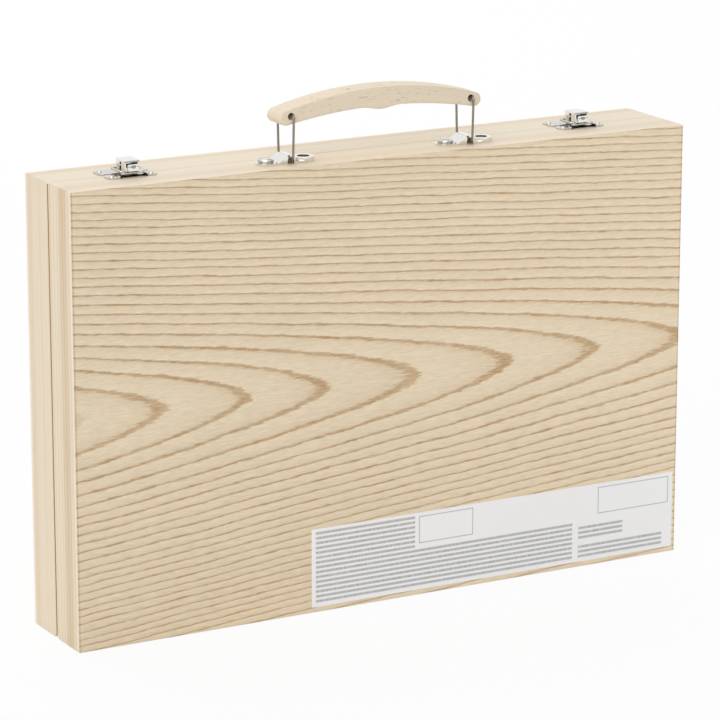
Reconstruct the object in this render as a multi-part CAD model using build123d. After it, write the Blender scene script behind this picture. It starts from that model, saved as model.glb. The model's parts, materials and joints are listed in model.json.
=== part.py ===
from build123d import *
from math import sqrt
import os

"""Brush box: a flat wooden case in two equal halves, standing on its hinge side.

Frame: origin at the middle of the standing face, +X along the case, +Z up to the side
with the handle and the latches, -Y the base half, +Y the lid half, parting plane y = 0.
All sizes are in millimetres.
"""

# ---------------------------------------------------------------- case
case_width = 380.0
case_height = 252.0
half_depth = 28.8          # outer depth of the base, and of the lid
parting_gap = 0.6          # between the rims of the two halves
rail_thickness = 9.0
panel_thickness = 3.0
rim_easing = 0.5           # chamfer on the outer edges of both rims

divider_thickness = 4.0
divider_setback = 3.0      # the dividers stay this far below the rim
brush_bay_height = 78.0    # clear width of the long bay next to the hinge side
right_bay_width = 119.0    # clear width of the bay at the right end

# ---------------------------------------------------------------- hinges
hinge_end_inset = 65.0     # from each end of the case to the middle of its hinge
hinge_length = 25.0
hinge_axis_inset = 1.5     # pin axis above the standing face
knuckle_radius = 1.4
knuckle_count = 5
knuckle_end_play = 0.15
pin_radius = 0.75
running_clearance = 0.05
leaf_thickness = 0.8
leaf_width = 11.0          # from the pin axis to the leaf's edge
leaf_root = 2.3            # the leaf is cut back to here between its own knuckles
groove_chamfer = 2.2       # chamfer of both rims along the hinge side
pocket_radius = 2.1        # round pocket for the knuckles in both rims
mortise_clearance = 0.15
leaf_screw_pitch = 16.0    # between the two screws of a leaf
leaf_screw_inset = 4.0     # from the leaf's edge to the screws

# ---------------------------------------------------------------- wood screws and nails
flat_screw_head_radius = 2.2
flat_screw_shank_radius = 1.1
flat_screw_length = 7.0
pan_screw_head_radius = 4.4
pan_screw_head_height = 2.6
pan_screw_shank_radius = 1.5
sunk_screw_head_radius = 3.0
sunk_screw_head_height = 0.8
handle_screw_length = 7.5  # in the wood
driver_slot_width = 0.7
driver_slot_depth = 0.6
nail_head_radius = 1.4
nail_head_height = 0.6
nail_shank_radius = 0.7
nail_length = 6.0

# ---------------------------------------------------------------- handle
handle_x = -0.6            # the handle sits a little left of the middle
handle_forward = 1.5       # from the middle of the base's depth towards the parting plane
hole_spacing = 111.5
hole_height = 26.4         # above the case's top face
hole_radius = 2.0
grip_width = 16.2
grip_end_radius = 3.9
grip_end_overhang = 2.7    # from a hole out to the middle of the grip's round end
grip_end_drop = 1.0        # from a hole down to the middle of the round end
grip_top_height = 37.5     # crown of the grip above the case's top face
grip_underside_height = 27.2
lobe_depth = 1.9           # finger lobe under the middle of the grip
lobe_width = 27.0
grip_edge_radius = 1.1

wire_radius = 0.65
wire_bend_radius = 2.2
bail_leg_gap = 0.7         # between the grip's cheeks and the wire
bail_splay = 1.0           # the legs come nearer to each other by this much at their feet, each
bail_pivot_height = 2.4    # above the case's top face
bail_tail_depth = 5.0      # length of each wire end inside the grip
wire_seat_x = 0.9          # wire axis beside the hole's axis
wire_seat_z = 0.6          # wire axis above the hole's axis

saddle_length = 34.8
saddle_width = 12.0
saddle_sheet = 1.1
saddle_disc_radius = 6.0
hump_height = 5.0
hump_foot = 8.5            # from the wire to where the ramp starts
hump_wall = 1.0
tunnel_side_play = 1.35    # between the wire and the walls of its tunnel
tunnel_top_play = 0.85
ring_height = 2.6
ring_bore_radius = 3.4

# ---------------------------------------------------------------- latches
left_latch_inset = 45.5    # from the end of the case to the middle of the latch
right_latch_inset = 54.5
latch_sheet = 0.8
latch_wing_span = 29.0
latch_wing_radius = 3.2
latch_nail_span = 23.0     # between the two nails of a plate
base_nail_y = 6.8          # from the parting plane
strike_nail_y = 8.6
base_plate_edge = 10.4     # outer edge of the base plate from the parting plane
strike_edge = 12.6         # outer edge of the strike from the parting plane
latch_plate_rim = 1.0      # inner edge of both plates from the parting plane
lever_width = 8.6
lever_front = 7.8          # front wall, from the parting plane
lever_back = 3.0           # rear end of the top, beyond the parting plane
lever_top_height = 8.8
lever_shoulder = 4.4       # lower end of the cheeks' rear edge
lever_heel = (1.9, 2.2)    # lower rear corner of the cheeks, beyond the parting plane and in height
lever_side_play = 0.2      # between both ears and the lever's cheeks, in all
link_side_play = 0.05      # between the rivet's heads and the link's arms
lever_pivot_y = -0.6
lever_pivot_height = 4.8
link_pivot_y = -5.0
link_height = 2.6          # link axis above the case's top face
link_reach = 11.4          # from the link's pivot to its hook bar
link_wire_radius = 0.7
link_bend_radius = 0.8
link_lug_wall = 0.6        # of the lever's cheeks around the link's wire
rivet_radius = 0.9
rivet_head_radius = 1.5
rivet_head_height = 0.25
ear_radius = 1.9
ear_foot = 4.2             # from the rivet to the front of the ear's foot
bridge_height = 2.9        # top of the raised bridge in the base plate
bridge_half_width = 5.6
bridge_foot = 8.8
bridge_back = 7.7          # rear edge of the bridge from the parting plane
lip_depth = 1.1            # lip that the lever's top folds down in front
apron_inset = 1.7          # the apron is folded from the right cheek and stops short of the left one
apron_below_top = 2.2      # slot and lip above the apron
apron_corner = 1.0
tab_reach = 1.4            # finger tab in front of the apron
tab_above_bridge = 0.25
tab_rise = 2.2             # from the tab's tip to where it leaves the apron
tab_inset = 0.3            # the tab stops short of the right cheek
window_front = 3.3         # the cheeks' windows, from the parting plane
window_back = 2.1
window_heights = ((3.4, 5.6), (6.4, 7.6))
hook_play = 0.25           # between the hook's lip and the link's bar
hook_width = 3.2
hook_front = 0.8           # top of the hook's lip, in front of the link's bar
hook_back = 0.6
hook_ramp = 1.4            # slope of the lip's front, from its foot to its top
hook_bevel = 0.3

# ---------------------------------------------------------------- label
label_width = 237.0
label_height = 45.0
label_thickness = 0.12
label_right_margin = 2.0
label_bottom_margin = 3.0

# ---------------------------------------------------------------- derived places
half_width = case_width / 2
rim = parting_gap / 2
outer_face = rim + half_depth
panel_inner_face = outer_face - panel_thickness
inner_half_width = half_width - rail_thickness
inner_top = case_height - rail_thickness
handle_y = -(rim + half_depth / 2) + handle_forward
bail_xs = (handle_x - hole_spacing / 2, handle_x + hole_spacing / 2)
cross_divider_x = inner_half_width - right_bay_width - divider_thickness / 2
hinge_xs = (hinge_end_inset - half_width, half_width - hinge_end_inset)
latch_xs = {"left": left_latch_inset - half_width, "right": half_width - right_latch_inset}
leaf_outer = hinge_axis_inset - knuckle_radius
leaf_inner = leaf_outer + leaf_thickness
tab_low = bridge_height + tab_above_bridge


# ---------------------------------------------------------------- helpers
def block(x0, x1, y0, y1, z0, z1):
    """A box between two opposite corners, given in any order."""
    size = (abs(x1 - x0), abs(y1 - y0), abs(z1 - z0))
    return Pos((x0 + x1) / 2, (y0 + y1) / 2, (z0 + z1) / 2) * Box(*size)


def extrude_along_y(face, y0, y1):
    """A face drawn in X and Z, stretched from y0 to y1."""
    low, high = min(y0, y1), max(y0, y1)
    return Pos(0, high, 0) * extrude(Plane.XZ * face, high - low)


def extrude_along_x(face, x0, x1):
    """A face drawn in Y and Z, stretched from x0 to x1."""
    return Pos(x0, 0, 0) * extrude(Plane.YZ * face, x1 - x0)


def polygon(*points):
    return make_face(Polyline(*points, close=True))


def rod_along_x(x0, x1, y, z, radius):
    return Pos((x0 + x1) / 2, y, z) * Rot(0, 90, 0) * Cylinder(radius, abs(x1 - x0))


def rod_along_y(x, y0, y1, z, radius):
    return Pos(x, (y0 + y1) / 2, z) * Rot(90, 0, 0) * Cylinder(radius, abs(y1 - y0))


def rod_along_z(x, y, z0, z1, radius):
    return Pos(x, y, (z0 + z1) / 2) * Cylinder(radius, abs(z1 - z0))


def group(solids):
    return Compound(children=list(solids))


# ---------------------------------------------------------------- fasteners
def turned(profile):
    """A solid of revolution about Z from a closed outline in X and Z."""
    return revolve(Plane.XZ * polygon(*profile), Axis.Z)


def driver_slot(radius, top):
    return block(-radius, radius, -driver_slot_width / 2, driver_slot_width / 2, top - driver_slot_depth, top)


def flat_screw():
    """Countersunk screw, its head's top at z = 0 and its tip below."""
    head_height = flat_screw_head_radius - flat_screw_shank_radius
    body = turned([
        (0, 0), (flat_screw_head_radius, 0), (flat_screw_shank_radius, -head_height),
        (flat_screw_shank_radius, -flat_screw_length + flat_screw_shank_radius), (0, -flat_screw_length),
    ])
    return body - driver_slot(0.8 * flat_screw_head_radius, 0)


def pan_screw():
    """Raised screw, its head standing on z = 0."""
    head = rod_along_z(0, 0, 0, pan_screw_head_height, pan_screw_head_radius)
    head = fillet(head.edges().group_by(Axis.Z)[-1], 0.75 * pan_screw_head_height)
    head -= driver_slot(pan_screw_head_radius, pan_screw_head_height)
    return head + wood_shank(pan_screw_shank_radius, saddle_sheet)


def sunk_screw():
    """Low screw whose head stands on z = 0 at the bottom of the saddle's ring."""
    head = rod_along_z(0, 0, 0, sunk_screw_head_height, sunk_screw_head_radius)
    head -= driver_slot(sunk_screw_head_radius, sunk_screw_head_height)
    return head + wood_shank(pan_screw_shank_radius, saddle_sheet)


def wood_shank(radius, sheet):
    """Shank of a handle screw, through the sheet under its head and into the wood."""
    depth = sheet + handle_screw_length
    return turned([(0, 0), (radius, 0), (radius, -depth + radius), (0, -depth)])


def nail():
    """Round-headed nail, its head standing on z = 0."""
    head = turned([
        (0, 0), (nail_head_radius, 0), (0.8 * nail_head_radius, nail_head_height), (0, nail_head_height),
    ])
    shank = turned([
        (0, 0), (nail_shank_radius, 0), (nail_shank_radius, -nail_length + nail_shank_radius), (0, -nail_length),
    ])
    return head + shank


# ---------------------------------------------------------------- case halves
def frame_ring(side):
    """The four rails of a half as one ring; side is -1 for the base, 1 for the lid."""
    inner, back = side * rim, side * panel_inner_face
    ring = block(-half_width, half_width, inner, back, 0, case_height)
    ring -= block(
        -inner_half_width, inner_half_width, inner - side, back + side, rail_thickness, inner_top,
    )
    return ring - rim_cuts(side)


def rim_cuts(side):
    """Easing of the rim's outer edges, and the wider chamfer along the hinge side."""
    inner, past = side * rim, 1.0

    def bevel(size):
        return [(inner - side * past, -past), (inner + side * size, -past), (inner + side * size, 0),
                (inner, size), (inner - side * past, size)]

    hinge_side = extrude_along_x(polygon(*bevel(groove_chamfer)), -half_width - past, half_width + past)
    eased = bevel(rim_easing)
    top_side = extrude_along_x(
        polygon(*[(y, case_height - z) for y, z in eased]), -half_width - past, half_width + past,
    )
    right_side = extrude(Plane.XY * polygon(*[(half_width - x, y) for y, x in eased]), case_height)
    return [hinge_side, top_side, right_side, mirror(right_side, about=Plane.YZ)]


def rail_outline(where):
    """Outline of one mitred rail in X and Z."""
    outer = {"left": -half_width, "right": half_width}
    inner = {"left": -inner_half_width, "right": inner_half_width}
    if where in outer:
        return polygon((outer[where], 0), (outer[where], case_height),
                       (inner[where], inner_top), (inner[where], rail_thickness))
    edge, face = (case_height, inner_top) if where == "top" else (0, rail_thickness)
    return polygon((-half_width, edge), (half_width, edge),
                   (inner_half_width, face), (-inner_half_width, face))


def case_half(name, side, cutters):
    """Four mitred rails and the panel of one half."""
    ring = frame_ring(side) - cutters
    pieces = {
        f"{name}_{where}_rail": ring & extrude_along_y(rail_outline(where), side * rim, side * outer_face)
        for where in ("top", "bottom", "left", "right")
    }
    pieces[f"{name}_panel"] = block(
        -half_width, half_width, side * panel_inner_face, side * outer_face, 0, case_height,
    )
    return pieces


def dividers():
    """Two thin boards that part the base into bays."""
    deep, front = -panel_inner_face, -(rim + divider_setback)
    shelf_low = rail_thickness + brush_bay_height
    shelf_high = shelf_low + divider_thickness
    cross_x = (cross_divider_x - divider_thickness / 2, cross_divider_x + divider_thickness / 2)
    return {
        "long_divider": block(-inner_half_width, inner_half_width, deep, front, shelf_low, shelf_high),
        "cross_divider": block(*cross_x, deep, front, shelf_high, inner_top),
    }


def label():
    right = half_width - label_right_margin
    return block(
        right - label_width, right, -outer_face, -outer_face - label_thickness,
        label_bottom_margin, label_bottom_margin + label_height,
    )


# ---------------------------------------------------------------- hinges
def knuckle_spans(owner):
    """X spans of the knuckles of a leaf; the base leaf has the outer ones."""
    pitch = hinge_length / knuckle_count
    start = -hinge_length / 2
    first = 0 if owner == "base" else 1
    return [
        (start + n * pitch + knuckle_end_play / 2, start + (n + 1) * pitch - knuckle_end_play / 2)
        for n in range(first, knuckle_count, 2)
    ]


def screw_places():
    """The two screws of a leaf: X and distance from the pin axis."""
    y = leaf_width - leaf_screw_inset
    return [(-leaf_screw_pitch / 2, y), (leaf_screw_pitch / 2, y)]


def leaf_screws(x, side):
    turn = Rot(180, 0, 0)
    return [Pos(x + dx, side * dy, leaf_outer) * turn * flat_screw() for dx, dy in screw_places()]


def hinge_leaf(x, side, owner):
    """One leaf with its knuckles, let in flush with the standing face."""
    half = hinge_length / 2
    leaf = block(-half, half, side * leaf_root, side * leaf_width, leaf_outer, leaf_inner)
    bore = pin_radius + (0 if owner == "base" else running_clearance)
    for x0, x1 in knuckle_spans(owner):
        leaf += block(x0, x1, 0, side * leaf_root, leaf_outer, leaf_inner)
        leaf += rod_along_x(x0, x1, 0, hinge_axis_inset, knuckle_radius)
    leaf -= rod_along_x(-half - 1, half + 1, 0, hinge_axis_inset, bore)
    return Pos(x, 0, 0) * leaf - leaf_screws(x, side)


def hinge_pin(x):
    half = hinge_length / 2
    return rod_along_x(x - half, x + half, 0, hinge_axis_inset, pin_radius)


def hinge_cutters(side):
    """Mortises, knuckle pockets and screw holes in the bottom rail of a half."""
    cutters = []
    reach = hinge_length / 2 + mortise_clearance
    for x in hinge_xs:
        cutters.append(block(x - reach, x + reach, 0, side * (leaf_width + mortise_clearance), -1, leaf_inner))
        cutters.append(rod_along_x(x - reach, x + reach, 0, hinge_axis_inset, pocket_radius))
        cutters += leaf_screws(x, side)
    return cutters


# ---------------------------------------------------------------- handle
def grip_outline():
    """Side view of the grip: two round ends joined by arcs that run into them smoothly."""
    end, low = hole_spacing / 2 + grip_end_overhang, hole_height - grip_end_drop
    radius = grip_end_radius
    rise = grip_top_height - low
    crown_radius = (end**2 + rise**2 - radius**2) / (2 * (rise - radius))
    rise = grip_underside_height - low
    belly_radius = (end**2 + rise**2 - radius**2) / (2 * (rise + radius))

    def crown(x):
        return grip_top_height - crown_radius + sqrt(crown_radius**2 - x**2)

    def belly(x):
        return grip_underside_height - belly_radius + sqrt(belly_radius**2 - x**2)

    crown_end = end * crown_radius / (crown_radius - radius)
    belly_end = end * belly_radius / (belly_radius + radius)
    lobe_end = lobe_width / 2
    middle = (lobe_end + belly_end) / 2
    slope = lobe_end / belly_radius
    tip, lobe_tip = end + radius, (0, grip_underside_height - lobe_depth)
    lobe = Spline((-lobe_end, belly(lobe_end)), lobe_tip, (lobe_end, belly(lobe_end)),
                  tangents=((1, slope), (1, -slope)))
    edges = [ThreePointArc((-crown_end, crown(crown_end)), (0, grip_top_height), (crown_end, crown(crown_end))), lobe]
    for sign in (-1, 1):
        edges.append(ThreePointArc(
            (sign * crown_end, crown(crown_end)), (sign * tip, low), (sign * belly_end, belly(belly_end)),
        ))
        edges.append(ThreePointArc(
            (sign * belly_end, belly(belly_end)), (sign * middle, belly(middle)),
            (sign * lobe_end, belly(lobe_end)),
        ))
    return Pos(0, case_height) * make_face(edges)


def grip():
    """Arched wooden grip with a finger lobe, drilled across at both ends."""
    solid = extrude_along_y(grip_outline(), -grip_width / 2, grip_width / 2)
    faces = solid.faces().sort_by(Axis.Y)
    solid = fillet(faces[0].edges() + faces[-1].edges(), grip_edge_radius)
    for x in (-hole_spacing / 2, hole_spacing / 2):
        solid -= rod_along_y(x, -grip_width, grip_width, case_height + hole_height, hole_radius)
    return Pos(handle_x, handle_y, 0) * solid


def bail_legs():
    """Distance of the tops of the bail's legs from the grip's middle plane."""
    return grip_width / 2 + bail_leg_gap + wire_radius


def bail(x):
    """A bent wire: tails in the grip's hole, legs beside it, bar under the saddle."""
    leg = bail_legs()
    foot = leg - bail_splay
    tail = grip_width / 2 - bail_tail_depth
    top = case_height + hole_height + wire_seat_z
    bottom = case_height + bail_pivot_height
    bend = wire_bend_radius
    path = FilletPolyline(
        (x, -tail, top), (x, -leg, top), (x, -foot, bottom),
        (x, foot, bottom), (x, leg, top), (x, tail, top), radius=bend,
    )
    start = Plane(origin=(x, -tail, top), z_dir=(0, -1, 0))
    return Pos(wire_seat_x, handle_y, 0) * sweep(start * Circle(wire_radius), path=path)


def saddle(x):
    """Screwed-down saddle: a disc, a ramped hump with the wire's tunnel, and a ring."""
    half, disc = saddle_length / 2, saddle_disc_radius
    wire_x = wire_seat_x
    arm = half - disc
    plate = block(-arm, arm, -saddle_width / 2, saddle_width / 2, 0, saddle_sheet)
    plate += rod_along_z(-arm, 0, 0, saddle_sheet, disc)
    plate += rod_along_z(arm, 0, 0, ring_height, disc)
    side = wire_radius + tunnel_side_play
    ceiling = bail_pivot_height + wire_radius + tunnel_top_play
    hump = polygon((wire_x - hump_foot, 0), (wire_x - side, hump_height), (wire_x + side, hump_height),
                   (wire_x + side + hump_wall, saddle_sheet), (wire_x + side + hump_wall, 0))
    plate += extrude_along_y(hump, -saddle_width / 2, saddle_width / 2)
    crest = plate.edges().filter_by(Axis.Y).group_by(Axis.Z)[-1]
    plate = fillet(crest, 0.9 * hump_wall)
    tunnel = block(wire_x - side, wire_x + side, -saddle_width, saddle_width, -1, ceiling - side)
    tunnel += rod_along_y(wire_x, -saddle_width, saddle_width, ceiling - side, side)
    plate -= tunnel
    plate -= rod_along_z(-arm, 0, -1, hump_height, pan_screw_shank_radius)
    plate -= rod_along_z(arm, 0, -1, hump_height, pan_screw_shank_radius)
    plate -= rod_along_z(arm, 0, saddle_sheet, ring_height + 1, ring_bore_radius)
    return Pos(x, handle_y, case_height) * plate


def handle_screws(kind):
    """Both screws of one kind: pan heads on the discs, sunk ones in the rings."""
    arm = saddle_length / 2 - saddle_disc_radius
    z = case_height + saddle_sheet
    if kind == "pan":
        return [Pos(x - arm, handle_y, z) * pan_screw() for x in bail_xs]
    return [Pos(x + arm, handle_y, z) * sunk_screw() for x in bail_xs]


# ---------------------------------------------------------------- latches
def wing_outline(inner, outer):
    """Flat outline of a latch plate in X and Y, with rounded wings."""
    half = latch_wing_span / 2
    face = Pos(0, (inner + outer) / 2) * Rectangle(2 * half, abs(outer - inner))
    return fillet(face.vertices(), latch_wing_radius)


def nail_places(side):
    y = -base_nail_y if side < 0 else strike_nail_y
    return [(-latch_nail_span / 2, y), (latch_nail_span / 2, y)]


def plate_nails(x, side):
    z = case_height + latch_sheet
    return [Pos(x + dx, dy, z) * nail() for dx, dy in nail_places(side)]


def ear_face():
    """Side view of an ear that carries the lever's rivet."""
    eye = Pos(lever_pivot_y, lever_pivot_height) * Circle(ear_radius)
    stem = polygon(
        (lever_pivot_y - ear_foot, 0), (-latch_plate_rim, 0), (-latch_plate_rim, 0.45 * lever_pivot_height),
        (lever_pivot_y + ear_radius, lever_pivot_height), (lever_pivot_y - ear_radius, lever_pivot_height),
    )
    return eye + stem


def latch_plate(x):
    """Base plate: nailed wings, a raised bridge in front and two ears inside the lever."""
    plate = extrude(Plane.XY * wing_outline(-base_plate_edge, -latch_plate_rim), latch_sheet)
    plate -= block(-bridge_foot, bridge_foot, -base_plate_edge - 1, -bridge_back, -1, latch_sheet + 1)
    crest = bridge_half_width - latch_sheet / 2
    arch = polygon(
        (-bridge_foot, 0), (-bridge_foot, latch_sheet), (-bridge_half_width, bridge_height),
        (bridge_half_width, bridge_height), (bridge_foot, latch_sheet), (bridge_foot, 0),
        (bridge_foot - latch_sheet, 0), (crest, bridge_height - latch_sheet),
        (-crest, bridge_height - latch_sheet), (-bridge_foot + latch_sheet, 0),
    )
    plate += extrude_along_y(arch, -base_plate_edge, -bridge_back)
    outside = lever_width / 2 - latch_sheet - lever_side_play / 2
    for x0 in (-outside, outside - latch_sheet):
        plate += extrude_along_x(ear_face(), x0, x0 + latch_sheet)
    plate -= rod_along_x(-latch_wing_span, latch_wing_span, lever_pivot_y, lever_pivot_height, rivet_radius)
    return Pos(x, 0, case_height) * plate - plate_nails(x, -1)


def latch_rivet(x):
    """The lever's rivet, tight in the ears, with a thin head outside each cheek."""
    outside = lever_width / 2
    rivet = rod_along_x(-outside, outside, lever_pivot_y, lever_pivot_height, rivet_radius)
    for sign in (-1, 1):
        rivet += rod_along_x(
            sign * outside, sign * (outside + rivet_head_height), lever_pivot_y, lever_pivot_height,
            rivet_head_radius,
        )
    return Pos(x, 0, case_height) * rivet


def lever_cheek():
    """Side view of a cheek of the lever."""
    lug = link_wire_radius + link_lug_wall
    return polygon(
        (-lever_front, lever_top_height), (lever_back, lever_top_height), (lever_back, lever_shoulder), lever_heel,
        (link_pivot_y + lug, link_height - lug), (link_pivot_y - lug, link_height - lug),
        (link_pivot_y - lug, tab_low), (-lever_front, tab_low),
    )


def finger_tab():
    """Side view of the tab that curls out of the lever's apron."""
    wall, low, root = -lever_front, tab_low, tab_low + tab_rise
    tip = wall - tab_reach
    return make_face([
        Line((wall + latch_sheet, root), (wall, root)),
        ThreePointArc((wall, root), (wall - 0.35 * tab_reach, low + 0.4 * tab_rise), (tip, low)),
        Line((tip, low), (tip + 0.6 * latch_sheet, low - 0.1)),
        ThreePointArc((tip + 0.6 * latch_sheet, low - 0.1), (wall + 0.3 * latch_sheet, low + 0.3 * tab_rise),
                      (wall + latch_sheet, root)),
    ])


def apron():
    """Front view of the lever's apron, its free upper corner rounded."""
    half = lever_width / 2
    low, high = tab_low + tab_rise, lever_top_height - apron_below_top
    left = apron_inset - half
    face = Pos((left + half) / 2, (low + high) / 2) * Rectangle(half - left, high - low)
    free_corner = face.vertices().sort_by(Axis.X)[:2].sort_by(Axis.Y)[-1]
    return fillet(free_corner, apron_corner)


def latch_lever(x):
    """Folded lever: top with a lip, two cheeks, and an apron with a finger tab."""
    half = lever_width / 2
    top, front, wall = lever_top_height, -lever_front, -lever_front + latch_sheet
    lever = block(-half, half, front, lever_back, top - latch_sheet, top)
    lever += block(-half, half, front, wall, top - lip_depth, top)
    for x0 in (-half, half - latch_sheet):
        lever += extrude_along_x(lever_cheek(), x0, x0 + latch_sheet)
    lever += extrude_along_y(apron(), front, wall)
    lever += extrude_along_x(finger_tab(), apron_inset - half, half - tab_inset)
    for low, high in window_heights:
        lever -= block(-lever_width, lever_width, -window_front, -window_back, low, high)
    lever -= rod_along_x(-lever_width, lever_width, lever_pivot_y, lever_pivot_height,
                         rivet_radius + running_clearance)
    lever -= rod_along_x(-lever_width, lever_width, link_pivot_y, link_height,
                         link_wire_radius + running_clearance)
    return Pos(x, 0, case_height) * lever


def latch_link(x):
    """Wire link around the lever: two trunnions in its cheeks, two arms and the hook bar."""
    arm_x = lever_width / 2 + rivet_head_height + link_side_play + link_wire_radius
    tip = lever_width / 2 - latch_sheet
    y0, y1, z = link_pivot_y, link_pivot_y + link_reach, link_height
    path = FilletPolyline(
        (-tip, y0, z), (-arm_x, y0, z), (-arm_x, y1, z), (arm_x, y1, z), (arm_x, y0, z), (tip, y0, z),
        radius=link_bend_radius,
    )
    start = Plane(origin=(-tip, y0, z), z_dir=(-1, 0, 0))
    return Pos(x, 0, case_height) * sweep(start * Circle(link_wire_radius), path=path)


def latch_strike(x):
    """Lid plate: nailed wings and the hook's lip below the link's bar."""
    outline = wing_outline(latch_plate_rim, strike_edge)
    plate = extrude(Plane.XY * outline, latch_sheet)
    bar_y = link_pivot_y + link_reach
    lip_top = link_height - link_wire_radius - hook_play
    front, back = bar_y - hook_front, bar_y + hook_back
    lip = polygon((front - hook_ramp, latch_sheet), (back, latch_sheet), (back, lip_top - hook_bevel),
                  (back - hook_bevel, lip_top), (front, lip_top))
    plate += extrude_along_x(lip, -hook_width / 2, hook_width / 2)
    return Pos(x, 0, case_height) * plate - plate_nails(x, 1)


# ---------------------------------------------------------------- assembly
def assemble():
    nails = {side: [n for x in latch_xs.values() for n in plate_nails(x, side)] for side in (-1, 1)}
    screws = {side: [s for x in hinge_xs for s in leaf_screws(x, side)] for side in (-1, 1)}
    pan, sunk = handle_screws("pan"), handle_screws("sunk")

    parts = {}
    parts |= case_half("base", -1, hinge_cutters(-1) + nails[-1] + pan + sunk)
    parts |= case_half("lid", 1, hinge_cutters(1) + nails[1])
    parts |= dividers()
    parts["label"] = label()

    for name, x in zip(("left", "right"), hinge_xs):
        parts[f"{name}_hinge_base_leaf"] = hinge_leaf(x, -1, "base")
        parts[f"{name}_hinge_lid_leaf"] = hinge_leaf(x, 1, "lid")
        parts[f"{name}_hinge_pin"] = hinge_pin(x)
    parts["base_hinge_screws"] = group(screws[-1])
    parts["lid_hinge_screws"] = group(screws[1])

    for name, x in latch_xs.items():
        parts[f"{name}_latch_plate"] = latch_plate(x)
        parts[f"{name}_latch_rivet"] = latch_rivet(x)
        parts[f"{name}_latch_lever"] = latch_lever(x)
        parts[f"{name}_latch_link"] = latch_link(x)
        parts[f"{name}_latch_strike"] = latch_strike(x)
    parts["base_latch_nails"] = group(nails[-1])
    parts["lid_latch_nails"] = group(nails[1])

    parts["handle_grip"] = grip()
    for name, x in zip(("left", "right"), bail_xs):
        parts[f"{name}_bail"] = bail(x)
        parts[f"{name}_handle_saddle"] = saddle(x)
    parts["handle_pan_screws"] = group(pan)
    parts["handle_sunk_screws"] = group(sunk)
    return parts


os.makedirs("parts", exist_ok=True)
for node, shape in assemble().items():
    export_step(shape, f"parts/{node}.step")
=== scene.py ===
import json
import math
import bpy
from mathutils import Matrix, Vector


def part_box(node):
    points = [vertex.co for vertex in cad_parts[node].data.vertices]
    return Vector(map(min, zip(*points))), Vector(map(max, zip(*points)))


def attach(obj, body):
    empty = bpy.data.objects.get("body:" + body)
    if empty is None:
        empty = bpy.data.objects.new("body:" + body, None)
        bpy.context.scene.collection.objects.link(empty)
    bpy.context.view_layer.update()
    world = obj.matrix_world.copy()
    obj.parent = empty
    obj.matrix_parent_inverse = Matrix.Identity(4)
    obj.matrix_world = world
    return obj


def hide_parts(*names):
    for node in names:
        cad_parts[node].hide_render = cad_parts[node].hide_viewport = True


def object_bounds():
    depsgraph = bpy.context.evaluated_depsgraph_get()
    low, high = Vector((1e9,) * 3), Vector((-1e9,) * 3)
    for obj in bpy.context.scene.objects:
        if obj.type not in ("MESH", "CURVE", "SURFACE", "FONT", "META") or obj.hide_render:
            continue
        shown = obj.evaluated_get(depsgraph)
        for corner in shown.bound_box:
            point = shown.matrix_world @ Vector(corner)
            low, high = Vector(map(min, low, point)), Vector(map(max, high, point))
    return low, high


bl_info = {
    "name": "Brush box",
    "version": (1, 0, 0),
    "blender": (4, 5, 0),
    "location": "3D View > Sidebar > Brush box",
    "description": "Dresses a wooden brush box: bare veneer, nickelled latches and a grip on wire bails",
    "category": "Object",
}

import bmesh
import bpy
from bpy.props import FloatProperty, FloatVectorProperty, PointerProperty
from mathutils import Vector

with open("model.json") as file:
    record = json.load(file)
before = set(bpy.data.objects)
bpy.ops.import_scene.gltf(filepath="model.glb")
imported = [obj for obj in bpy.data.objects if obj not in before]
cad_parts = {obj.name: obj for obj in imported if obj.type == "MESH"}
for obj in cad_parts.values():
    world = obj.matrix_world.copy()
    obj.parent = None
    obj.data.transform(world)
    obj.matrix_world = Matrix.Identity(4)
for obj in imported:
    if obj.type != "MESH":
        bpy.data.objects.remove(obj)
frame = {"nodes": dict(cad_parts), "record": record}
CAD_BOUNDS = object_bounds()
NODES = frame["nodes"]
BODIES = frame["record"]["behaviour"]["bodies"]
MM = 0.001
# Planes of the case in millimetres. The two halves meet at y = 0.
HALF_WIDTH = CAD_BOUNDS[1].x / MM
TOP_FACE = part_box("base_top_rail")[1].z / MM
OUTER_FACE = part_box("lid_panel")[1].y / MM
PANEL_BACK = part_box("lid_panel")[0].y / MM
# Outside of the latch levers' aprons along Y, in millimetres.
LEVER_FRONT = -7.8


def display(red, green, blue):
    """Linear colour from the 0 to 255 numbers that a screen shows."""
    def linear(channel):
        c = channel / 255
        return c / 12.92 if c <= 0.04045 else ((c + 0.055) / 1.055) ** 2.4

    return (linear(red), linear(green), linear(blue))


# ---------------------------------------------------------------- settings
def tint(name, description, default):
    return FloatVectorProperty(
        name=name, description=description, default=default, subtype="COLOR", min=0.0, max=1.0,
    )


def share(name, description, default):
    return FloatProperty(
        name=name, description=description, default=default, min=0.0, max=1.0, subtype="FACTOR",
    )


def length(name, description, default, low, high):
    return FloatProperty(
        name=name, description=description, default=default, min=low, max=high, unit="LENGTH",
    )


def angle(name, description, degrees):
    return FloatProperty(
        name=name, description=description, default=math.radians(degrees), subtype="ANGLE",
    )


class VeneerLook(bpy.types.PropertyGroup):
    pale: tint("Pale wood", "Colour between two growth rings", display(229, 212, 184))
    ring: tint("Ring", "Colour of the late wood of a growth ring", display(184, 150, 108))
    core: tint("Core", "Colour of the core ply on the panel's edges", display(243, 228, 208))
    pitch: length("Ring pitch", "Growth of the tree in a year", 0.00408, 0.001, 0.03)
    taper: share("Taper", "How fast the rings widen along the board", 0.085)
    depth: length("Pith depth", "From the veneer to the tree's pith", 0.060, 0.005, 0.2)
    point: share("Point", "How sharply the loops are pointed", 0.09)


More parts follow.
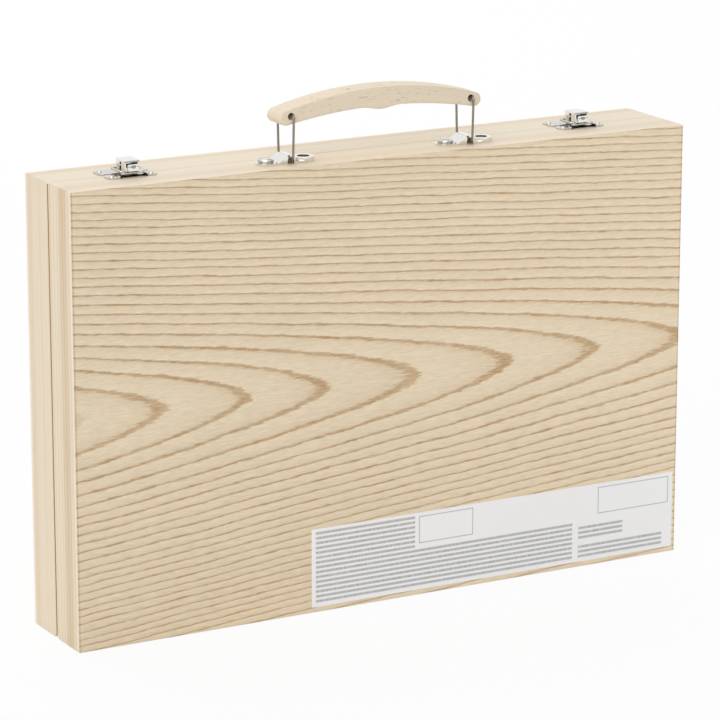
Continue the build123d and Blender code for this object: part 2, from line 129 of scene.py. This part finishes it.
class RailLook(bpy.types.PropertyGroup):
    pale: tint("Pale wood", "Main colour of the rails", display(235, 220, 197))
    # The seam colour is painted shade for the gap between the two halves.
    seam: tint("Seam", "Colour of the grime where the two halves meet", display(146, 112, 44))
    # The top colour is painted light: a paler, greyer copy of the rail wood for the rails whose faces are
    # up, towards the lamps.
    top: tint("Top wood", "Main colour of the rails on the handle's side", display(238, 226, 207))
    streak: tint("Streak", "Colour of the rails' darker streaks", display(212, 186, 150))
    divider: tint("Dividers", "Main colour of the dividers", display(224, 208, 182))


class GripLook(bpy.types.PropertyGroup):
    pale: tint("Pale wood", "Main colour of the grip", display(226, 211, 187))
    fleck: tint("Fleck", "Colour of the grip's short flecks", display(170, 140, 106))


class MetalLook(bpy.types.PropertyGroup):
    nickel: tint("Nickel", "Colour of the plated levers, saddles and screws", display(232, 230, 224))
    # The sheet colour is painted shade: a darker copy of the nickel for the greyer flat latch plates,
    # which the nail heads share.
    sheet: tint("Sheet", "Colour of the duller latch plates", display(200, 197, 191))
    wire: tint("Wire", "Colour of the bails' wire", display(147, 138, 123))
    polish: share("Nickel roughness", "Roughness of the plated sheet metal", 0.09)
    wire_polish: share("Wire roughness", "Roughness of the wire", 0.28)
    softness: length("Sheet edges", "Rounding of the sheet metal's edges", 0.00012, 0.0, 0.001)


class LabelLook(bpy.types.PropertyGroup):
    paper: tint("Paper", "Colour of the blank sticker", display(240, 240, 240))
    rule: tint("Rules", "Colour of the sticker's ruled lines", display(150, 149, 149))
    pitch: length("Rule pitch", "Between two ruled lines", 0.0028, 0.001, 0.02)


class StageLook(bpy.types.PropertyGroup):
    backdrop: tint("Backdrop", "Colour of the floor and the surroundings", (0.94, 0.94, 0.94))
    daylight: FloatProperty(
        name="Room light", description="Strength of the room's even light", default=0.50, min=0.0,
    )
    dark_side: share("Dark side", "How bright the room behind the camera shows in metal", 0.12)
    azimuth: angle("Camera azimuth", "Turn of the camera round the box", -28.79)
    elevation: angle("Camera elevation", "Height of the camera above the horizon", 14.67)
    lens: FloatProperty(name="Lens", description="Focal length", default=186.9, min=10.0, unit="CAMERA")


# ---------------------------------------------------------------- shader maths
class Value:
    """A shader socket that Python's own operators work on."""

    def __init__(self, finish, socket):
        self.finish = finish
        self.socket = socket

    def maths(self, operation, *others):
        numbers = dict(enumerate((self, *others)))
        return self.finish.node("ShaderNodeMath", {"operation": operation}, numbers)

    def __add__(self, other):
        return self.maths("ADD", other)

    def __sub__(self, other):
        return self.maths("SUBTRACT", other)

    def __rsub__(self, other):
        return self.finish.node("ShaderNodeMath", {"operation": "SUBTRACT"}, {0: other, 1: self})

    def __mul__(self, other):
        return self.maths("MULTIPLY", other)

    def __truediv__(self, other):
        return self.maths("DIVIDE", other)

    def __abs__(self):
        return self.maths("ABSOLUTE")

    __radd__ = __add__
    __rmul__ = __mul__

    def root(self):
        return self.maths("SQRT")

    def fract(self):
        return self.maths("FRACT")

    def floor(self):
        return self.maths("FLOOR")

    def smaller(self, other):
        return self.maths("MINIMUM", other)

    def larger(self, other):
        return self.maths("MAXIMUM", other)

    def rise(self, low, high):
        """0 below low, 1 above high, and smooth between them."""
        return self.finish.node(
            "ShaderNodeMapRange", {"interpolation_type": "SMOOTHSTEP"},
            {"Value": self, "From Min": low, "From Max": high},
        )

    def fall(self, low, high):
        """1 below low, 0 above high, and smooth between them."""
        return 1 - self.rise(low, high)

    def band(self, low, high, blur):
        """1 between low and high, with soft sides."""
        return self.rise(low - blur, low + blur) * self.fall(high - blur, high + blur)


SOCKETS = {
    "colour": "Base Color", "roughness": "Roughness", "gloss": "Specular IOR Level", "metal": "Metallic",
    "normal": "Normal",
}


class Finish:
    """One material, built node by node round a single shader."""

    def __init__(self, name):
        self.material = bpy.data.materials.new(name)
        self.material.use_nodes = True
        self.tree = self.material.node_tree
        self.shader = self.tree.nodes["Principled BSDF"]

    def node(self, kind, settings=None, sockets=None, output=0):
        """Adds a node and returns one of its outputs."""
        made = self.tree.nodes.new(kind)
        for setting, value in (settings or {}).items():
            setattr(made, setting, value)
        for socket, value in (sockets or {}).items():
            self.feed(made.inputs[socket], value)
        return Value(self, made.outputs[output])

    def feed(self, socket, value):
        """Links a socket to a value, or sets it to a number or a colour."""
        if isinstance(value, Value):
            self.tree.links.new(value.socket, socket)
        elif hasattr(value, "__len__") and len(value) == 3 and socket.type == "RGBA":
            socket.default_value = (*value, 1.0)
        else:
            socket.default_value = value

    def set(self, **sockets):
        """Feeds the shader's own sockets, whose names are in SOCKETS."""
        for name, value in sockets.items():
            self.feed(self.shader.inputs[SOCKETS[name]], value)

    def place(self):
        """Object coordinates in millimetres, as three values."""
        point = self.node("ShaderNodeTexCoord", output="Object")
        scaled = self.node("ShaderNodeVectorMath", {"operation": "SCALE"}, {0: point, "Scale": 1 / MM})
        return [self.node("ShaderNodeSeparateXYZ", None, {0: scaled}, axis) for axis in range(3)]

    def point(self, x, y, z):
        return self.node("ShaderNodeCombineXYZ", None, {0: x, 1: y, 2: z})

    def noise(self, x, y, z, detail=2.0, roughness=0.5):
        """Soft random value from -1 to 1 at a point whose features are about 1 apart."""
        fog = self.node(
            "ShaderNodeTexNoise", {"noise_dimensions": "3D"},
            {"Vector": self.point(x, y, z), "Scale": 1.0, "Detail": detail, "Roughness": roughness},
        )
        return fog * 2 - 1

    def mix(self, factor, first, second):
        """The first colour where the factor is 0 and the second where it is 1."""
        return self.node("ShaderNodeMix", {"data_type": "RGBA"}, {0: factor, 6: first, 7: second}, 2)

    def scaled(self, colour, factor):
        """A colour made lighter or darker by a factor round 1."""
        return self.node("ShaderNodeVectorMath", {"operation": "SCALE"}, {0: colour, "Scale": factor})

    def bump(self, height):
        """Feeds the shader a relief, its height in millimetres."""
        sockets = {"Height": height * MM, "Strength": 1.0, "Distance": 1.0}
        self.set(normal=self.node("ShaderNodeBump", None, sockets))


def clad(piece, finish):
    """Puts one finish on every material slot of a piece."""
    if piece.data.materials:
        for index in range(len(piece.data.materials)):
            piece.data.materials[index] = finish.material
    else:
        piece.data.materials.append(finish.material)


# ---------------------------------------------------------------- woods
def veneer(name, look, heart, start, lean, seed):
    """Flat-sawn veneer over a pale core, darker where its face meets the panel's ends.

    heart is the height of the loops' points, start where the innermost one begins, both in mm,
    and lean is 1 where the points face +X or -1 where they face -X.
    """
    f = Finish(name)
    x, y, z = f.place()
    middle, blur = PANEL_BACK + 1.5, 0.1
    inside = abs(y).fall(middle - blur, middle + blur)
    strength, dusk = growth_rings(f, look, (x, z), inside, (heart, start, lean), seed)
    pores = f.noise(x / 7.5, seed + 9, z / 0.85 - x / 45, detail=3.0, roughness=0.7)
    streaks = f.noise(x / 36, seed + 4, z / 1.7 + x / 60, detail=4.0, roughness=0.62)
    cloud = f.noise(x / 90, seed + 2, z / 45, detail=2.0)
    # Lighter along the board towards where the loops' points face, and darker towards the other end.
    lighter_towards_points = x * lean * (0.045 / HALF_WIDTH)
    end = abs(x).rise(HALF_WIDTH - 1.3, HALF_WIDTH - 0.5)
    tone = (1 + pores * 0.22 + streaks * 0.08 + cloud * 0.05 + lighter_towards_points) * (1 - end * 0.08)
    wood = f.scaled(f.mix(strength + dusk + end * 0.3, look.pale, look.ring), tone)
    skin = 0.3
    ply = abs(y).band(PANEL_BACK + skin, OUTER_FACE - skin, 0.05)
    core = f.scaled(look.core, 1 + f.noise(x / 2, y / 0.5, z / 2, detail=3.0) * 0.05)
    f.set(colour=f.mix(ply, wood, core), roughness=0.62 - strength * 0.08, gloss=0.28)
    f.bump(pores * 0.012 - strength * 0.02)
    return f


def growth_rings(f, look, place, inside, loops, seed):
    """Growth rings as nested loops, pointed at one end: their dark late wood and the dusk before it.

    The panel's inside shows the same tree further along and lower down, so its loops differ.
    """
    x, z = place
    heart, start, lean = loops
    pitch, depth, taper = look.pitch / MM, look.depth / MM, look.taper
    further, lower, slowing = 75, 30, 0.000026
    along = (x * lean - start) + inside * further
    wander = f.noise(x / 150, seed, z / 90, detail=1.0) * 1.5
    sway = f.noise(x / 36, seed + 5, z / 17, detail=2.0, roughness=0.55) * 0.9
    across = z - heart + wander + sway - inside * lower
    blunt = 3.0
    nose = (across * across + blunt * blunt).root() - blunt
    radius = (across * across + depth * depth).root() - depth + nose * look.point
    fibre = f.noise(x / 16, seed, z / 1.6, detail=2.0, roughness=0.6)
    hair = f.noise(x / 7, seed + 3, z / 0.9, detail=2.0, roughness=0.7)
    growth = radius + along * (taper - along * slowing)
    frayed = growth + fibre * 0.46 + hair * 0.42
    season = f.noise(growth / 9, seed, 0.0, detail=1.0)
    first_year = 0.88
    age = frayed / pitch + first_year + season * 0.16
    year = age.fract()
    late = year.rise(0.76, 0.87) * year.fall(0.95, 1.0)
    dusk = year.rise(0.10, 0.80) * 0.10 + year.rise(0.60, 0.80) * 0.10
    patchy = f.noise(x / 22, age.floor() * 3.7, z / 30, detail=3.0)
    strength = late * (0.58 + patchy * 0.42 + hair * 0.50) * growth.rise(0.5, 1.5)
    return strength, dusk


def straight_wood(name, look, pale, axis, seed, figure=1.0, warm=0.0):
    """Planed softwood with straight grain along the axis "x" or "z".

    figure is how strongly its streaks show, and warm the depth of its warm band, in mm.
    """
    f = Finish(name)
    x, y, z = f.place()
    along, across = (x, z) if axis == "x" else (z, x)
    sway = f.noise(along / 120, seed, 0.0, detail=1.0) * 1.2
    side = across + sway + seed * 7.3
    deep = y + sway * 0.6
    fibre = f.noise(along / 22, side / 0.6, deep / 0.6, detail=3.0, roughness=0.6)
    drift = f.noise(along / 60, side / 6, deep / 6)
    ring_pitch = 3.4
    growth = (side * 0.35 + deep * 0.94 + fibre * 0.16 + drift * 0.7) / ring_pitch
    season = f.noise(growth / 2, seed, 0.0, detail=1.0)
    year = (growth + season * 0.6).fract()
    late = year.rise(0.45, 0.90) * year.fall(0.95, 1.0)
    broad = f.noise(along / 500, side / 9 + seed, deep / 5, detail=1.0).rise(0.0, 0.55)
    uneven = 0.75 + f.noise(along / 90, seed, 0.0) * 0.3
    heart = (y + sway * 0.5).band(warm - 5.5, warm + 3.5, 2.2) * uneven
    strength = (late * 0.38 + broad * 0.30 + heart * 0.75).smaller(1.0) * figure
    wood = f.mix(strength, pale, look.streak)
    fine = f.noise(along / 6, side / 0.5, deep / 0.5, detail=2.0, roughness=0.7)
    # Painted shade in the gap between the halves: darker there, and rougher.
    seam = grime(x, y, z)
    wood = f.mix(seam * 0.95, f.scaled(wood, 1 + fine * 0.03 + fibre * 0.03), look.seam)
    f.set(colour=wood, roughness=0.60 - late * 0.05 + seam * 0.4, gloss=0.28)
    f.bump(fine * 0.01 + fibre * 0.006)
    return f


def grime(x, y, z):
    """1 where the two halves meet, on the case's two end faces and below its top: painted shade for the
    gap between them.
    """
    ends = abs(y).fall(0.45, 1.10) * abs(x).rise(HALF_WIDTH - 1.8, HALF_WIDTH - 1.0)
    return ends * z.fall(TOP_FACE - 1.2, TOP_FACE - 0.4)


def beech(name, look):
    """Grip wood: pale and close-grained, with short darker flecks, painted shade on its flat sides and a
    painted dark line that makes their edges crisp.
    """
    f = Finish(name)
    x, y, z = f.place()
    low, high = (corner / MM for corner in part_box("handle_grip"))
    middle, half = (low.y + high.y) / 2, (high.y - low.y) / 2
    arch_radius = 240
    rise = z - TOP_FACE + x * x / (2 * arch_radius)
    fibre = f.noise(x / 12, y / 0.6, rise / 0.6, detail=3.0, roughness=0.6)
    flecks = f.noise(x / 3.4, y / 1.6, rise / 0.62 + 3, detail=1.0, roughness=0.5).rise(0.22, 0.46)
    patches = f.noise(x / 13, y / 8, rise / 5, detail=1.0).rise(-0.25, 0.35)
    bands = f.noise(x / 90, y / 4, rise / 3.2 + 7, detail=2.0)
    # Painted shade: the flat sides are darker than the top and ends, and a thin line just inside each of
    # their edges is darker still.
    flat = abs(y - middle).rise(half - 0.75, half - 0.45)
    edge_shade_line = abs(y - middle).band(half - 0.72, half - 0.50, 0.1)
    wood = f.mix(flecks * patches * 0.85, look.pale, look.fleck)
    wood = f.scaled(wood, (1.07 + fibre * 0.05 + bands * 0.04) * (1 - flat * 0.085) * (1 - edge_shade_line * 0.07))
    f.set(colour=wood, roughness=0.5 + fibre * 0.04, gloss=0.32)
    f.bump(fibre * 0.01 - flecks * 0.015)
    return f


# ---------------------------------------------------------------- metals and paper
def inside_box(point, low, high, blur=0.12):
    """1 inside a box given by two corners in mm, 0 outside."""
    mask = 1.0
    for value, start, stop in zip(point, low, high):
        mask = value.band(start, stop, blur) * mask
    return mask


def plated(name, colour, roughness, shades=(), dimple=None):
    """Bright plated metal with faint handling marks.

    shades are boxes of painted shade, such as a hollow, where the metal is also rougher: two corners in
    mm and the share of light that is lost.
    dimple is a pressed oval in a lever's apron: the X and Z of its middle and its two radii, in mm. Its
    relief is a bump, and its darkening is painted shade.
    """
    f = Finish(name)
    x, y, z = f.place()
    haze = f.noise(x / 3, y / 3, z / 3, detail=3.0)
    rub = f.noise(x / 0.35, y / 1.8, z / 0.35, detail=2.0)
    tone = 1 + haze * 0.04
    rough = roughness + haze * 0.04 + rub * 0.02
    # Painted shade inside each box, which is also made rougher.
    for low, high, loss in shades:
        dark = inside_box((x, y, z), low, high)
        tone = tone * (1 - dark * loss)
        rough = rough + dark * loss * 0.4
    height = haze * 0.02 + rub * 0.001
    if dimple:
        middle, height_of_middle, half_width, half_height = dimple
        across = (x - middle) / half_width
        up = (z - height_of_middle) / half_height
        wall = y.fall(LEVER_FRONT + 0.3, LEVER_FRONT + 0.5)
        pressed = (across * across + up * up).fall(0.6, 1.1) * wall
        # Painted shade in the pressed oval.
        tone = tone * (1 - pressed * 0.5)
        height = height - pressed * 0.12
    f.set(colour=f.scaled(colour, tone), metal=1.0, roughness=rough)
    f.bump(height)
    return f


def sticker_paper(name, look):
    """Light grey sticker with plain ruled lines in four blocks and two empty frames."""
    f = Finish(name)
    x, y, z = f.place()
    low, high = (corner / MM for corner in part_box("label"))
    margin = 1.2
    right, down = x - low.x, high.z - z
    row = (down - margin) / (look.pitch / MM)
    ruled = row.fract().band(0.22, 0.74, 0.16)
    # Left and right end in mm, first row, and rows of each block.
    blocks = ((2.5, 65.5, 0, 7), (2.5, 169.0, 7, 8), (173.0, 203.0, 8, 3), (173.0, 230.0, 12, 3))
    lines = None
    for left, end, top, rows in blocks:
        block = right.band(left, end, 0.15) * row.band(top + 0.05, top + rows - 0.05, 0.04)
        lines = block if lines is None else lines.larger(block)
    ragged = f.noise(x / 0.55, row.floor() * 2.3, 0.0, detail=1.0).rise(-0.5, 0.3)
    ink = ruled * lines * (0.62 + ragged * 0.38)
    top, foot, stroke = 2.2, 18.0, 0.5
    for left, end in ((68.0, 103.0), (186.0, 234.0)):
        outer = right.band(left, end, 0.1) * down.band(top, foot, 0.1)
        inner = right.band(left + stroke, end - stroke, 0.1)
        inner = inner * down.band(top + stroke, foot - stroke, 0.1)
        ink = ink.larger((outer - inner) * 0.9)
    mottle = f.noise(x / 14, 0.0, z / 14, detail=2.0)
    paper = f.scaled(f.mix(ink * 0.8, look.paper, look.rule), 1 + mottle * 0.012)
    f.set(colour=paper, roughness=0.38 + mottle * 0.04, gloss=0.4)
    f.bump(f.noise(x / 30, 0.0, z / 12, detail=1.0) * 0.05)
    return f


# ---------------------------------------------------------------- geometry
def link_piece(name, mesh, node, finish):
    """A new piece that stands for a CAD node and moves with its body."""
    piece = bpy.data.objects.new(name, mesh)
    bpy.context.scene.collection.objects.link(piece)
    clad(piece, finish)
    body = next(body for body, nodes in BODIES.items() if node in nodes)
    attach(piece, body)
    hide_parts(node)
    return piece


def softened(node, name, radius, finish):
    """A copy of a CAD node with its sharp edges rounded."""
    weld, flat, crease = 2e-6, math.radians(0.5), math.radians(30)
    form = bmesh.new()
    form.from_mesh(NODES[node].data)
    bmesh.ops.remove_doubles(form, verts=form.verts, dist=weld)
    bmesh.ops.dissolve_limit(form, angle_limit=flat, verts=form.verts, edges=form.edges)
    mesh = bpy.data.meshes.new(name)
    form.to_mesh(mesh)
    form.free()
    mesh.shade_smooth()
    mesh.set_sharp_from_angle(angle=crease)
    piece = link_piece(name, mesh, node, finish)
    edges = piece.modifiers.new("Edges", "BEVEL")
    edges.width = radius
    edges.segments = 2
    edges.limit_method = "ANGLE"
    edges.angle_limit = crease
    edges.use_clamp_overlap = True
    edges.harden_normals = True
    return piece


# ---------------------------------------------------------------- operators
class BOX_OT_panels(bpy.types.Operator):
    """Veneer the base and lid panels, and soften their edges"""

    bl_idname = "box.panels"
    bl_label = "Panels"

    def execute(self, context):
        look = context.scene.box_veneer
        base = veneer("base_veneer", look, heart=128.7, start=-HALF_WIDTH, lean=1, seed=3.1)
        lid = veneer("lid_veneer", look, heart=96.0, start=-HALF_WIDTH, lean=-1, seed=21.7)
        sanding = 0.00025
        softened("base_panel", "base_veneered_panel", sanding, base)
        softened("lid_panel", "lid_veneered_panel", sanding, lid)
        return {"FINISHED"}


class BOX_OT_rails(bpy.types.Operator):
    """Give each rail and divider its own straight-grained wood"""

    bl_idname = "box.rails"
    bl_label = "Rails and dividers"

    def execute(self, context):
        look = context.scene.box_rails
        seed, step = 1.3, 2.9
        for half, warm, figure in (("base", -17.0, 1.0), ("lid", 26.0, 0.45)):
            for where, axis in (("top", "x"), ("bottom", "x"), ("left", "z"), ("right", "z")):
                node = f"{half}_{where}_rail"
                # Painted light: the top rails take the paler top colour.
                pale, shown = (look.top, 0.45) if where == "top" else (look.pale, figure)
                clad(NODES[node], straight_wood(f"{node}_wood", look, pale, axis, seed, shown, warm))
                seed += step
        for node, axis in (("long_divider", "x"), ("cross_divider", "z")):
            clad(NODES[node], straight_wood(f"{node}_wood", look, look.divider, axis, seed))
            seed += step
        return {"FINISHED"}


class BOX_OT_handle(bpy.types.Operator):
    """Finish the grip, its bails, the saddles and their screws"""

    bl_idname = "box.handle"
    bl_label = "Handle"

    def execute(self, context):
        metal = context.scene.box_metal
        clad(NODES["handle_grip"], beech("grip_wood", context.scene.box_grip))
        wire = plated("bail_wire", metal.wire, metal.wire_polish)
        for side in ("left", "right"):
            clad(NODES[f"{side}_bail"], wire)
            nickel = plated(f"{side}_saddle_nickel", metal.nickel, metal.polish, self.shades(side))
            softened(f"{side}_handle_saddle", f"{side}_pressed_saddle", metal.softness, nickel)
        low, high = (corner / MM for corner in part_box("handle_pan_screws"))
        # Painted shade on the lower flank of each pan screw's raised head.
        shaded_flank = (low, Vector((high.x, high.y, high.z - 1.0)), 0.45)
        pan = plated("pan_screw_nickel", metal.nickel, metal.polish, (shaded_flank,))
        clad(NODES["handle_pan_screws"], pan)
        sunk = plated("sunk_screw_nickel", metal.wire, metal.wire_polish)
        clad(NODES["handle_sunk_screws"], sunk)
        return {"FINISHED"}

    def shades(self, side):
        """Painted shade in the bore of a saddle's ring, which is at its right end."""
        low, high = (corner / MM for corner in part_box(f"{side}_handle_saddle"))
        bore, loss = 3.6, 0.8
        y = (low.y + high.y) / 2
        x = high.x - (high.y - low.y) / 2 + 0.6
        foot = (x - bore, y - bore, TOP_FACE - 1.0)
        head = (x + bore, y + bore, TOP_FACE + 2.4)
        return ((foot, head, loss),)


class BOX_OT_latches(bpy.types.Operator):
    """Finish both toggle latches, their strikes and their nails"""

    bl_idname = "box.latches"
    bl_label = "Latches"

    def execute(self, context):
        metal = context.scene.box_metal
        for side in ("left", "right"):
            low, high = (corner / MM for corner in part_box(f"{side}_latch_lever"))
            middle = (low.x + high.x) / 2
            dimple = (middle + 1.0, TOP_FACE + 5.1, 1.7, 0.85)
            shades = self.lever_shades(low, high)
            lever = plated(f"{side}_lever_nickel", metal.nickel, metal.polish, shades, dimple)
            softened(f"{side}_latch_lever", f"{side}_pressed_lever", metal.softness, lever)
            shades = self.plate_shades(middle)
            # Painted shade: the plates, strikes, rivets and links take the darker sheet colour.
            nickel = plated(f"{side}_latch_nickel", metal.sheet, metal.polish, shades)
            for part in ("plate", "strike"):
                softened(f"{side}_latch_{part}", f"{side}_pressed_{part}", metal.softness, nickel)
            clad(NODES[f"{side}_latch_rivet"], nickel)
            clad(NODES[f"{side}_latch_link"], nickel)
        for half in ("base", "lid"):
            # Painted shade: the nail heads share the plates' darker sheet colour.
            nickel = plated(f"{half}_nail_nickel", metal.sheet, metal.wire_polish)
            clad(NODES[f"{half}_latch_nails"], nickel)
        return {"FINISHED"}

    def lever_shades(self, low, high):
        """Painted shade on the inside of a lever, on its lip, and on the rims of the two windows in each
        cheek.
        """
        sheet, slack = 0.8, 0.1
        wall = sheet - slack
        foot = (low.x + wall, LEVER_FRONT + wall, TOP_FACE + 0.9)
        head = (high.x - wall, 4.0, high.z - wall)
        inside = (foot, head, 0.86)
        foot = (low.x, LEVER_FRONT - slack, high.z - 1.15)
        head = (high.x, LEVER_FRONT + 0.15, high.z - 0.25)
        lip = (foot, head, 0.45)
        windows = []
        for sill, lintel in ((3.4, 5.6), (6.4, 7.6)):
            foot = (low.x - slack, -3.7, TOP_FACE + sill - slack)
            head = (high.x + slack, -1.7, TOP_FACE + lintel + slack)
            windows.append((foot, head, 0.85))
        return (inside, lip, *windows)

    def plate_shades(self, middle):
        """Painted shade on a plate's bridge before the lever's apron, and on the part that the lever
        covers.
        """
        bridge = ((middle - 8.0, -11.0, TOP_FACE - 0.2), (middle + 8.0, -7.0, TOP_FACE + 2.15), 0.93)
        covered = ((middle - 4.4, -8.6, TOP_FACE - 0.1), (middle + 4.4, -1.0, TOP_FACE + 2.3), 0.85)
        return (bridge, covered)


class BOX_OT_hinges(bpy.types.Operator):
    """Finish the flush hinges with their pins and screws"""

    bl_idname = "box.hinges"
    bl_label = "Hinges"

    def execute(self, context):
        metal = context.scene.box_metal
        duller = 0.08
        nickel = plated("hinge_nickel", metal.nickel, metal.polish + duller)
        for node in NODES:
            if "hinge" in node:
                clad(NODES[node], nickel)
        return {"FINISHED"}


class BOX_OT_label(bpy.types.Operator):
    """Leave the sticker blank apart from plain ruled lines"""

    bl_idname = "box.label"
    bl_label = "Sticker"

    def execute(self, context):
        clad(NODES["label"], sticker_paper("label_paper", context.scene.box_label))
        return {"FINISHED"}


class BOX_OT_stage(bpy.types.Operator):
    """Set the pale floor, the soft lamps and the camera"""

    bl_idname = "box.stage"
    bl_label = "Stage"

    def execute(self, context):
        look = context.scene.box_stage
        context.scene.view_settings.view_transform = "Standard"
        self.floor(look)
        self.world(context, look)
        self.lamp("key_light", (-1.95, -2.08, 2.05), size=4.6, power=74.0)
        self.lamp("back_light", (0.4, 2.2, 2.0), size=3.2, power=38.0, mirrored=False)
        self.camera(context, look)
        return {"FINISHED"}

    def floor(self, look):
        """White disc that shows the box's shadow."""
        radius, gap = 7.0, 0.0004
        form = bmesh.new()
        bmesh.ops.create_circle(form, cap_ends=True, segments=96, radius=radius)
        bmesh.ops.translate(form, vec=(0.0, 0.0, -gap), verts=form.verts)
        mesh = bpy.data.meshes.new("floor")
        form.to_mesh(mesh)
        form.free()
        floor = bpy.data.objects.new("floor", mesh)
        bpy.context.scene.collection.objects.link(floor)
        clad(floor, self.floor_white(look))

    def floor_white(self, look):
        """White that lets sight and light through from below, and doesn't shade the standing face.

        Most of what the camera and the metals see in its place is even white, so its shadow is faint.
        """
        even, near, far = 0.9, 0.001, 0.002
        f = Finish("floor_white")
        f.set(colour=tuple(look.backdrop), roughness=0.9, gloss=0.1)
        white = Value(f, f.shader.outputs[0])
        glow = f.node("ShaderNodeEmission", None, {"Color": (1.0, 1.0, 1.0), "Strength": 1.0})
        clear = f.node("ShaderNodeBsdfTransparent")
        seen = f.node("ShaderNodeLightPath", output="Is Camera Ray")
        mirrored = f.node("ShaderNodeLightPath", output="Is Glossy Ray")
        reach = f.node("ShaderNodeLightPath", output="Ray Length")
        under = f.node("ShaderNodeNewGeometry", output="Backfacing")
        lit = f.node("ShaderNodeMixShader", None, {0: mirrored * even, 1: white, 2: glow})
        lit = f.node("ShaderNodeMixShader", None, {0: seen * even, 1: lit, 2: clear})
        through = under.larger(reach.fall(near, far))
        shown = f.node("ShaderNodeMixShader", None, {0: through, 1: lit, 2: clear})
        f.tree.links.new(shown.socket, f.tree.nodes["Material Output"].inputs["Surface"])
        return f

    def world(self, context, look):
        """Even light, white to the camera, and with the studio's dark side in reflections."""
        world = bpy.data.worlds.new("room")
        context.scene.world = world
        world.use_nodes = True
        tree = world.node_tree
        sky = tree.nodes["Background"]
        sky.inputs["Color"].default_value = (1.0, 1.0, 1.0, 1.0)
        path = tree.nodes.new("ShaderNodeLightPath")
        place = tree.nodes.new("ShaderNodeTexCoord")
        direction = tree.nodes.new("ShaderNodeSeparateXYZ")
        tree.links.new(place.outputs["Generated"], direction.inputs[0])
        height = self.ramp(tree, direction.outputs["Z"], (0.02, 0.30), (look.dark_side, 1.0))
        depth = self.ramp(tree, direction.outputs["Y"], (-0.15, 0.35), (0.0, 1.0))
        mirrored = tree.nodes.new("ShaderNodeMath")
        mirrored.operation = "MAXIMUM"
        tree.links.new(height, mirrored.inputs[0])
        tree.links.new(depth, mirrored.inputs[1])
        unseen = self.blend(tree, path.outputs["Is Glossy Ray"], look.daylight, mirrored.outputs[0])
        strength = self.blend(tree, path.outputs["Is Camera Ray"], unseen, 1.0)
        tree.links.new(strength, sky.inputs["Strength"])

    def ramp(self, tree, value, between, results):
        """A smooth change from one result to the other while the value crosses between two numbers."""
        node = tree.nodes.new("ShaderNodeMapRange")
        node.interpolation_type = "SMOOTHSTEP"
        tree.links.new(value, node.inputs["Value"])
        for name, number in zip(("From Min", "From Max", "To Min", "To Max"), (*between, *results)):
            node.inputs[name].default_value = number
        return node.outputs[0]

    def blend(self, tree, factor, first, second):
        """The first value where the factor is 0 and the second where it is 1."""
        node = tree.nodes.new("ShaderNodeMix")
        tree.links.new(factor, node.inputs[0])
        for socket, value in ((node.inputs[2], first), (node.inputs[3], second)):
            if isinstance(value, bpy.types.NodeSocket):
                tree.links.new(value, socket)
            else:
                socket.default_value = value
        return node.outputs[0]

    def lamp(self, name, place, size, power, mirrored=True):
        """A round soft lamp that faces the box."""
        light = bpy.data.lights.new(name, "AREA")
        light.shape = "DISK"
        light.size = size
        light.energy = power
        lamp = bpy.data.objects.new(name, light)
        lamp.location = place
        lamp.rotation_euler = (-Vector(place)).to_track_quat("-Z", "Y").to_euler()
        lamp.visible_glossy = mirrored
        bpy.context.scene.collection.objects.link(lamp)

    def camera(self, context, look):
        camera = bpy.data.objects.new("camera", bpy.data.cameras.new("camera"))
        camera.data.lens = look.lens
        camera.data.clip_start, camera.data.clip_end = 0.05, 50.0
        camera.location = (-0.972, -1.764, 0.659)
        camera.rotation_euler = (math.pi / 2 - look.elevation, 0.0, look.azimuth)
        context.scene.collection.objects.link(camera)
        context.scene.camera = camera


OPERATORS = (
    BOX_OT_panels, BOX_OT_rails, BOX_OT_handle, BOX_OT_latches, BOX_OT_hinges, BOX_OT_label, BOX_OT_stage,
)
LOOKS = {
    "box_veneer": VeneerLook, "box_rails": RailLook, "box_grip": GripLook, "box_metal": MetalLook,
    "box_label": LabelLook, "box_stage": StageLook,
}


class BOX_PT_sidebar(bpy.types.Panel):
    """Lists the box's pieces and their settings"""

    bl_label = "Brush box"
    bl_space_type = "VIEW_3D"
    bl_region_type = "UI"
    bl_category = "Brush box"

    def draw(self, context):
        for operator in OPERATORS:
            self.layout.operator(operator.bl_idname)
        for name, group in LOOKS.items():
            column = self.layout.column(heading=group.__name__)
            for setting in group.__annotations__:
                column.prop(getattr(context.scene, name), setting)


def register():
    for group in LOOKS.values():
        bpy.utils.register_class(group)
    for name, group in LOOKS.items():
        setattr(bpy.types.Scene, name, PointerProperty(type=group))
    for operator in OPERATORS:
        bpy.utils.register_class(operator)
    bpy.utils.register_class(BOX_PT_sidebar)


def unregister():
    bpy.utils.unregister_class(BOX_PT_sidebar)
    for operator in reversed(OPERATORS):
        bpy.utils.unregister_class(operator)
    for name, group in reversed(LOOKS.items()):
        delattr(bpy.types.Scene, name)
        bpy.utils.unregister_class(group)


def main():
    register()
    for operator in OPERATORS:
        getattr(bpy.ops.box, operator.bl_idname.split(".")[1])()


if __name__ == "__main__":
    main()
